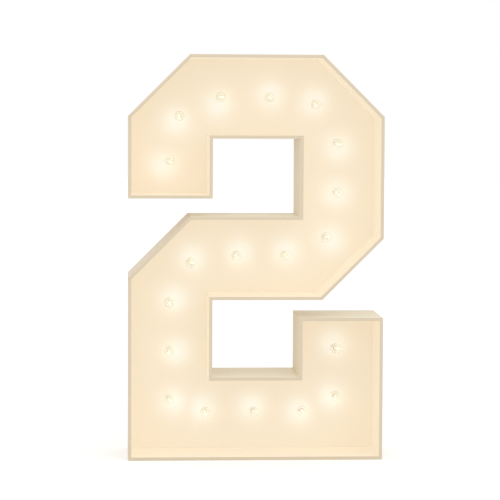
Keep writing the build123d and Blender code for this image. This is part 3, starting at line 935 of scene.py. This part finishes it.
class FIGURE_OT_bulbs(bpy.types.Operator):
    """Make the bulbs: glass, stem, lit rod, support wire and screw cap"""

    bl_idname = "figure.bulbs"
    bl_label = "Bulbs"

    def execute(self, context):
        brass = finished(
            "cap brass with painted light", (0.90, 0.78, 0.54), roughness=0.35, tone=0.08, tone_scale=90.0, Metallic=1.0,
        )
        # Painted light on the caps: emission standing in for the lamps' light on the brass, evenly and in
        # pools
        add_painted_lamp_light(brass, even_light=(0.18, 0.158, 0.124), pool_light=(0.22, 0.195, 0.153))
        glass = globe_glass()
        steel = finished(
            "support wire", (0.72, 0.71, 0.68), roughness=0.25, tone=0.05, tone_scale=200.0, Metallic=1.0,
        )
        places = screwed_in()
        for name, shape, material, slot, node in (
            ("globe_glass", globe_shape(), glass, "clear_glass", "bulb_globes"),
            ("bulb_stems", stem_shape(), glass, "clear_glass", "bulb_filaments"),
            ("lit_rods", rod_shape(), lit_rod(), "lit_filament", "bulb_filaments"),
            ("support_wires", wire_shape(), steel, "contact_steel", "bulb_filaments"),
            ("screw_caps", cap_shape(), brass, "cap_brass", "bulb_caps"),
        ):
            add_piece(name, at_places(shape, places), material, node)
        make_lamp_lights()
        return {"FINISHED"}


# The lampholders


def holder_shape():
    """The holder's turned body from the slot forward, and the two lugs beside its cable slot."""
    holders = settings().holders
    barrel, flange, bore = holders.barrel_radius, holders.flange_radius, holders.bore_radius
    slot, face, floor = holders.slot_bottom, holders.flange_thickness, holders.bore_bottom
    corners = [
        (0, slot), (barrel, slot), (barrel, 0), (flange, 0), (flange, face), (bore, face),
        (bore, floor), (0, floor),
    ]
    body = lathed(corners, ease=0.9 * MM, around=48)
    start, overlap, steps = math.asin(holders.slot_width / 2 / barrel), 0.2 * MM, 20
    turn = np.linspace(start, math.pi - start, steps)
    arc = np.column_stack([np.cos(turn), np.sin(turn)]) * barrel
    levels = (holders.barrel_end, slot + overlap)
    rows = [np.column_stack([arc, np.full(steps, level)]) for level in levels]
    points, *faces = capped(np.array(rows))
    return joined(body, (points, *faces), (points * (-1, -1, 1), *faces))


def nut_shape():
    """A six-sided ring: its radius is w / cos(a), with a the angle from the middle of the nearest
    flat, and its edge towards the back is cut to a cone."""
    holders = settings().holders
    around, ease, slope = 72, 0.4 * MM, math.tan(math.radians(30))
    half = holders.nut_width / 2
    six = half / np.cos((full_turn(around) + math.pi / 6) % (math.pi / 3) - math.pi / 6)
    front = -(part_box("light_panel")[1].y - panel_front())
    back = front - holders.nut_thickness
    bore, face = holders.nut_bore, half - ease / 4
    profile = [
        (bore, front - ease), (bore, back + ease), (bore + ease, back), (face, back),
        (six, back + (six - face) * slope), (six, front), (bore + ease, front),
    ]
    radius, height = (np.array([np.broadcast_to(row[at], around) for row in profile]) for at in (0, 1))
    return skin(turned(radius, height, around), ring=True)


def rear_cover_shape():
    """The round plate behind the holder, with a shallow dish and a ribbed rim whose radius is
    r - depth/2 (1 - cos(24 t))."""
    holders = settings().holders
    side, front = holders.barrel_radius, holders.barrel_end
    back = front - holders.cover
    ribs, per_rib, depth = 24, 5, 0.45 * MM
    dish, dish_floor, dish_edge, rim = back + 0.5 * MM, 0.55 * side, 0.65 * side, 0.9
    corners = [
        (0, dish), (dish_floor, dish), (dish_edge, back), (side, back), (side, front), (0, front),
    ]
    radius, height = eased(corners, radius=0.6 * MM).T
    around = ribs * per_rib
    on_rim = np.clip((radius / side - rim) / (1 - rim), 0, 1)
    ribbed = radius[:, None] - on_rim[:, None] * depth * (0.5 - 0.5 * np.cos(ribs * full_turn(around)))
    return skin(turned(ribbed, height, around))


class FIGURE_OT_lampholders(bpy.types.Operator):
    """Make the moulded lampholders with their nuts, rear covers and pins"""

    bl_idname = "figure.lampholders"
    bl_label = "Lampholders"

    def execute(self, context):
        white = finished(
            "moulded white with painted light", (0.83, 0.77, 0.67), roughness=0.38, tone=0.02, tone_scale=30.0,
            grain_scale=1400.0, grain=0.12,
        )
        # Painted light on the holders: emission standing in for the lamps' light on them, evenly and in
        # pools
        add_painted_lamp_light(white, even_light=(0.08, 0.08, 0.08), pool_light=(0.06, 0.06, 0.07))
        places = lamp_places()
        for name, shape, node in (
            ("holder_bodies", holder_shape(), "lampholders"),
            ("holder_nuts", nut_shape(), "lampholder_nuts"),
            ("holder_rear_covers", rear_cover_shape(), "lampholder_covers"),
        ):
            add_piece(name, at_places(shape, places), white, node)
        paint_node("lampholder_pins", finished(
            "pin brass", (0.78, 0.63, 0.36), roughness=0.3, tone=0.06, tone_scale=120.0, Metallic=1.0,
        ))
        return {"FINISHED"}


# The flat cable


def rounded_route(corners, radii, step, closer=4):
    """Points along straight runs joined by tangent arcs, about a step apart and closer on the arcs,
    and the way at each."""
    points, ways = [], []
    start = corners[0]
    for before, here, after, radius in zip(corners, corners[1:], corners[2:], radii):
        arriving, leaving = unit(here - before), unit(after - here)
        turn = math.atan2(np.cross(arriving, leaving), arriving @ leaving)
        cut = radius * math.tan(abs(turn) / 2)
        run = here - arriving * cut - start
        count = max(2, round(np.hypot(*run) / step))
        points.append(start + run * np.linspace(0, 1, count, endpoint=False)[:, None])
        ways.append(np.broadcast_to(arriving, points[-1].shape))
        side = np.array([-arriving[1], arriving[0]]) * math.copysign(1, turn)
        count = max(3, round(abs(turn) * radius / step * closer))
        bend = np.linspace(0, abs(turn), count, endpoint=False)[:, None]
        points.append(start + run + radius * (arriving * np.sin(bend) + side * (1 - np.cos(bend))))
        ways.append(arriving * np.cos(bend) + side * np.sin(bend))
        start = here + leaving * cut
    run = corners[-1] - start
    count = max(2, round(np.hypot(*run) / step))
    points.append(start + run * np.linspace(0, 1, count)[:, None])
    ways.append(np.broadcast_to(unit(run), points[-1].shape))
    return np.concatenate(points), np.concatenate(ways)


def cable_shape():
    """Two joined cores carried along the route: x = width/2 cos t (1 - waist exp(-(sin t / spread)^2))
    and y = depth/2 sin t (1 + fullness cos^2 t)."""
    holders = settings().holders
    corners = lamp_line()
    corners[0, 1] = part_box("cable_end_cap")[1].z - holders.cable_in_cap
    corners[-1, 1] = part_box("battery_case")[0].z + holders.cable_in_case
    legs = unit(np.diff(corners, axis=0))
    sharp = np.sum(legs[:-1] * legs[1:], axis=1) < math.cos(math.radians(60))
    radii = np.where(sharp, holders.cable_corner_bend, holders.cable_bend)
    points, ways = rounded_route(corners, radii, step=6 * MM)
    centre = np.insert(points, 1, middle_of("lamp_cable")[0][1], axis=1)
    across = np.column_stack([ways[:, 1], np.zeros(len(ways)), -ways[:, 0]])
    turn, waist, spread, fullness = full_turn(24), 0.22, 0.35, 0.18
    x = holders.cable_width / 2 * np.cos(turn) * (1 - waist * np.exp(-(np.sin(turn) / spread) ** 2))
    y = holders.cable_depth / 2 * np.sin(turn) * (1 + fullness * np.cos(turn) ** 2)
    return capped(centre[:, None] + across[:, None] * x[:, None] + np.array([0, 1, 0]) * y[:, None])


class FIGURE_OT_cable(bpy.types.Operator):
    """Make the flat cable that joins the holders, with its end cap"""

    bl_idname = "figure.cable"
    bl_label = "Cable"

    def execute(self, context):
        sheath = finished(
            "soft white sheath", (0.82, 0.79, 0.72), roughness=0.42, tone=0.03, tone_scale=20.0,
            grain_scale=1600.0, grain=0.1,
        )
        add_piece("flat_cable", cable_shape(), sheath, "lamp_cable")
        ease_node(paint_node("cable_end_cap", sheath), width=0.5 * MM)
        return {"FINISHED"}


# The battery case and what is in it


def facing_back(place):
    """One place whose axes point up, to the right and out of the figure's back."""
    return np.array([place]), np.array([[(0, 0, 1), (1, 0, 0), (0, 1, 0)]], float)


def cell_place(number):
    """The middle of a cell's flat end, with the last axis towards its button."""
    middle, half = middle_of(f"battery_cell_{number}")
    up = 1 if number in UPRIGHT_CELLS else -1
    axes = np.array([[(1, 0, 0), (0, up, 0), (0, 0, up)]], float)
    return np.array([middle - (0, 0, up * half[2])]), axes


def cell_top():
    """How far a cell's body reaches from its flat end, without its button."""
    return 2 * middle_of("battery_cell_1")[1][2] - settings().case.button_length


def jacket_shape():
    """A cell's jacket, which laps over both ends of the can."""
    case = settings().case
    side, top, sink = case.cell_radius, cell_top(), 0.3 * MM
    lap = side - case.jacket_lap
    corners = [
        (0, sink), (lap, sink), (lap, 0), (side, 0), (side, top), (lap, top), (lap, top - sink),
        (0, top - sink),
    ]
    return lathed(corners, ease=0.6 * MM, around=48)


def can_ends_shape():
    """The two bare ends of a cell's can: a dished plate, and a plate pressed up into the button."""
    case = settings().case
    top, lap, button = cell_top(), case.cell_radius - case.jacket_lap, case.button_radius
    dish, plate, inner, rise = 0.2 * MM, 0.1 * MM, 0.29 * MM, 0.15 * MM
    dish_floor, dish_edge, button_foot = 0.5 * lap, 0.58 * lap, button + 0.7 * MM
    tip = top + case.button_length
    flat = [(0, dish), (dish_floor, dish), (dish_edge, plate), (lap, plate), (lap, inner), (0, inner)]
    pressed = [
        (0, top - inner), (lap, top - inner), (lap, top - rise), (button_foot, top - rise),
        (button, top + rise), (button, tip), (0, tip),
    ]
    return joined(*[lathed(corners, ease=0.3 * MM, around=40) for corners in (flat, pressed)])


def lead_shapes():
    """The lead's sheath along the corner of the bay, and its bare ends, soldered at the top."""
    case = settings().case
    middle, half = middle_of("battery_lead")
    thick, thin, end = case.lead_radius, case.bare_radius, 2 * half[2]
    bare, solder, solder_full = 2.5 * MM, end - 1.2 * MM, end - 0.5 * MM
    sheath = [(0, bare), (thick, bare), (thick, end - bare), (0, end - bare)]
    wire = [(0, 0), (thin, 0), (thin, solder), (thick, solder_full), (thick, end), (0, end)]
    places = np.array([middle - (0, 0, half[2])]), np.eye(3)[None]
    return [at_places(lathed(corners, ease=0.3 * MM, around=16), places) for corners in (sheath, wire)]


def foam_shape():
    """The foam between the case and the panel, whose pressed edge swells out in the middle by
    swell sin(pi s)."""
    middle, half = middle_of("battery_pad")
    swell, s = 0.3 * MM, np.linspace(0, 1, num=7)
    profile = np.column_stack([swell * (1 - np.sin(np.pi * s)), half[1] * (2 * s - 1)])
    slab = rounded_slab(half[2], half[0], settings().case.pad_corner, profile)
    return at_places(slab, facing_back(middle))


def knob_shape():
    """The switch's knob: oblongs along its slide, drawn in by (1 - |t|^8)^(1/8) towards its ends,
    whose outer side falls by ridge/2 (1 - cos(4 pi (t + 1))) between its ridges."""
    middle, half = middle_of("switch_knob")
    squareness, fullness, ridges, steps = 6, 8, 4, 64
    turn, t = full_turn(steps // 2), np.linspace(-1, 1, steps + 1)[1:-1, None]
    y, z = (np.sign(way) * np.abs(way) ** (2 / squareness) for way in (np.cos(turn), np.sin(turn)))
    draw = (1 - t**fullness) ** (1 / fullness)
    fall = 0.5 * settings().case.knob_ridge * (1 - np.cos(ridges * np.pi * (t + 1)))
    rows = np.stack([
        np.broadcast_to(half[0] * t, (len(t), len(turn))),
        draw * (half[1] * y - fall * np.clip(y, 0, 1)),
        draw * half[2] * z,
    ], axis=-1)
    return capped(middle + rows)


def mark_shapes():
    """The raised line and ring beside the switch, for on and off."""
    case = settings().case
    half, outer, rise = case.mark_stroke / 2, case.mark_size / 2, case.mark_rise
    inner, sunk, shoulder, ease = outer - case.mark_stroke, -0.1 * MM, 0.6 * rise, 0.3 * half
    line = rounded_slab(outer, half, corner=0.8 * half, profile=[(0, sunk), (0, shoulder), (ease, rise)])
    ring = skin(turned(
        [inner, outer, outer, outer - ease, inner + ease, inner],
        [sunk, sunk, shoulder, rise, rise, shoulder], around=40,
    ), ring=True)
    slot, lid = middle_of("switch_body")[0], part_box("switch_lid")[1].y
    places = [(slot[0] + side * case.mark_distance, lid, slot[2]) for side in (1, -1)]
    return joined(*[at_places(mark, facing_back(at)) for mark, at in zip((line, ring), places)])


def jacket_finish(number):
    """A cell's printed jacket: the dark colour with a band near the button."""
    case = settings().case
    jacket = finished(
        f"cell jacket {number}", case.jacket, roughness=0.32, tone=0.05, tone_scale=100.0,
        Metallic=0.35, Coat_Weight=0.4,
    )
    tree = jacket.node_tree
    origins, axes = cell_place(number)
    band = float(origins[0, 2] + axes[0, 2, 2] * (cell_top() - case.band_place))
    height = add_node(tree, "ShaderNodeSeparateXYZ", {"Vector": own_place(tree)}).outputs["Z"]
    away = maths(tree, "ABSOLUTE", maths(tree, "SUBTRACT", height, band))
    on_band = maths(tree, "LESS_THAN", away, case.band_width / 2)
    printed = mixed(tree, on_band, opaque(case.jacket), opaque(case.band))
    fill(tree.nodes["Worked surface"], {"Color": printed})
    return jacket


class FIGURE_OT_battery_case(bpy.types.Operator):
    """Finish the battery case with its cover, cells, contacts and switch"""

    bl_idname = "figure.battery_case"
    bl_label = "Battery case"

    def execute(self, context):
        ink = finished("mark ink", (0.05, 0.05, 0.055), roughness=0.5, tone=0.1, tone_scale=300.0)
        shell = finished(
            "case plastic", settings().case.shell, roughness=0.5, tone=0.02, tone_scale=40.0,
            grain_scale=2200.0, grain=0.35,
        )
        steel = finished(
            "plated steel", (0.70, 0.70, 0.68), roughness=0.28, tone=0.08, tone_scale=200.0, Metallic=1.0,
        )
        foam = finished(
            "pad foam", (0.045, 0.045, 0.045), roughness=0.95, tone=0.3, tone_scale=400.0,
            grain_scale=2500.0, grain=0.8,
        )
        black = finished(
            "switch black", (0.02, 0.02, 0.02), roughness=0.4, tone=0.1, tone_scale=200.0,
            grain_scale=2500.0,
        )
        red = finished("red sheath", (0.55, 0.03, 0.02), roughness=0.4, tone=0.05, tone_scale=100.0)
        for name, material, arris in (
            ("battery_case", shell, 0.3 * MM),
            ("battery_cover", shell, 0.3 * MM),
            ("switch_lid", shell, 0.3 * MM),
            ("switch_body", black, 0.25 * MM),
            ("battery_contacts", steel, 0.12 * MM),
        ):
            ease_node(paint_node(name, material), arris)
        sheath, wire = lead_shapes()
        add_piece("switch_knob_ridged", knob_shape(), black, "switch_knob", "switch_knob")
        add_piece("switch_marks", mark_shapes(), ink, None)
        add_piece("foam_pad", foam_shape(), foam, "battery_pad")
        add_piece("lead_sheath", sheath, red, "battery_lead")
        add_piece("lead_ends", wire, steel, "battery_lead")
        for number in (1, 2, 3):
            node, places = f"battery_cell_{number}", cell_place(number)
            jacket, ends = at_places(jacket_shape(), places), at_places(can_ends_shape(), places)
            add_piece(f"cell_jacket_{number}", jacket, jacket_finish(number), node)
            add_piece(f"cell_can_{number}", ends, steel, node)
        return {"FINISHED"}


# The stage


def make_floor():
    """A plain pale floor, shown whiter to the camera, which keeps the figure's shadow."""
    stage = settings().stage
    half = stage.floor_size / 2
    mesh = bpy.data.meshes.new("floor")
    corners = [(-half, -half, 0), (half, -half, 0), (half, half, 0), (-half, half, 0)]
    mesh.from_pydata(corners, [], [(0, 1, 2, 3)])
    floor = bpy.data.objects.new("floor", mesh)
    bpy.context.scene.collection.objects.link(floor)
    material = finished(
        "floor", stage.floor_colour, roughness=0.8, tone=0.01, tone_scale=1.0, grain=0.0,
        Specular_IOR_Level=0.0, Emission_Color=WHITE,
    )
    tree = material.node_tree
    seen = tree.nodes.new("ShaderNodeLightPath").outputs["Is Camera Ray"]
    lift = maths(tree, "MULTIPLY", seen, stage.floor_lift)
    fill(tree.nodes["Principled BSDF"], {"Emission Strength": lift})
    mesh.materials.append(material)


def make_sky():
    """Even light, and a plain white for what is seen directly, mirrored or through glass."""
    world = bpy.data.worlds.new("studio")
    world.use_nodes = True
    bpy.context.scene.world = world
    tree = world.node_tree
    light = tree.nodes["Background"]
    fill(light, {"Color": WHITE, "Strength": settings().stage.sky})
    shown = add_node(tree, "ShaderNodeBackground", {"Color": WHITE, "Strength": 1.0})
    ray = tree.nodes.new("ShaderNodeLightPath").outputs
    beyond = maths(tree, "MAXIMUM", ray["Is Glossy Ray"], ray["Is Transmission Ray"])
    seen = maths(tree, "MAXIMUM", ray["Is Camera Ray"], beyond)
    mix = add_node(tree, "ShaderNodeMixShader", {0: seen, 1: light.outputs[0], 2: shown.outputs[0]})
    fill(tree.nodes["World Output"], {"Surface": mix.outputs[0]})


def make_key_light():
    """A large soft light from the upper right, a little in front of the figure."""
    stage = settings().stage
    light = bpy.data.lights.new("key", "AREA")
    light.shape = "SQUARE"
    light.size = stage.key_size
    light.energy = stage.key
    lamp = bpy.data.objects.new("key", light)
    bpy.context.scene.collection.objects.link(lamp)
    aim = (stage.key_target - stage.key_place).to_track_quat("-Z", "Y")
    lamp.matrix_world = Matrix.Translation(stage.key_place) @ aim.to_matrix().to_4x4()


def make_camera():
    """The camera, turned by its yaw, pitch and roll from looking along +Y."""
    stage = settings().stage
    data = bpy.data.cameras.new("camera")
    data.sensor_width = 36.0
    data.lens = stage.lens
    data.clip_end = 200.0
    camera = bpy.data.objects.new("camera", data)
    bpy.context.scene.collection.objects.link(camera)
    turn = (
        Matrix.Rotation(-stage.yaw, 4, "Z")
        @ Matrix.Rotation(-stage.pitch, 4, "X")
        @ Matrix.Rotation(-stage.roll, 4, "Y")
        @ Matrix.Rotation(math.radians(90), 4, "X")
    )
    camera.matrix_world = Matrix.Translation(stage.camera_place) @ turn
    bpy.context.scene.camera = camera


class FIGURE_OT_stage(bpy.types.Operator):
    """Set up the floor, the light and the camera"""

    bl_idname = "figure.stage"
    bl_label = "Stage"

    def execute(self, context):
        make_floor()
        make_sky()
        make_key_light()
        make_camera()
        context.scene.view_settings.view_transform = "Standard"
        return {"FINISHED"}


# The add-on


OPERATORS = (
    FIGURE_OT_boards,
    FIGURE_OT_light_panel,
    FIGURE_OT_bulbs,
    FIGURE_OT_lampholders,
    FIGURE_OT_cable,
    FIGURE_OT_battery_case,
    FIGURE_OT_stage,
)


class FIGURE_PT_sidebar(bpy.types.Panel):
    """The figure's pieces and sizes in the sidebar"""

    bl_idname = "FIGURE_PT_sidebar"
    bl_label = "Light up figure"
    bl_space_type = "VIEW_3D"
    bl_region_type = "UI"
    bl_category = "Figure"

    def draw(self, context):
        for operator in OPERATORS:
            self.layout.operator(operator.bl_idname)
        figure = context.scene.light_up_figure
        for group in (figure.boards, figure.lamps, figure.holders, figure.case, figure.stage):
            box = self.layout.box()
            for name in group.bl_rna.properties.keys():
                if name not in ("rna_type", "name"):
                    box.prop(group, name)


CLASSES = (
    BoardSettings,
    LampSettings,
    HolderSettings,
    CaseSettings,
    StageSettings,
    FigureSettings,
    *OPERATORS,
    FIGURE_PT_sidebar,
)


def register():
    for one in CLASSES:
        bpy.utils.register_class(one)
    bpy.types.Scene.light_up_figure = PointerProperty(type=FigureSettings)


def unregister():
    del bpy.types.Scene.light_up_figure
    for one in reversed(CLASSES):
        bpy.utils.unregister_class(one)


def main():
    """Makes every piece in order."""
    register()
    bpy.ops.figure.boards()
    bpy.ops.figure.light_panel()
    bpy.ops.figure.bulbs()
    bpy.ops.figure.lampholders()
    bpy.ops.figure.cable()
    bpy.ops.figure.battery_case()
    bpy.ops.figure.stage()


if __name__ == "__main__":
    main()
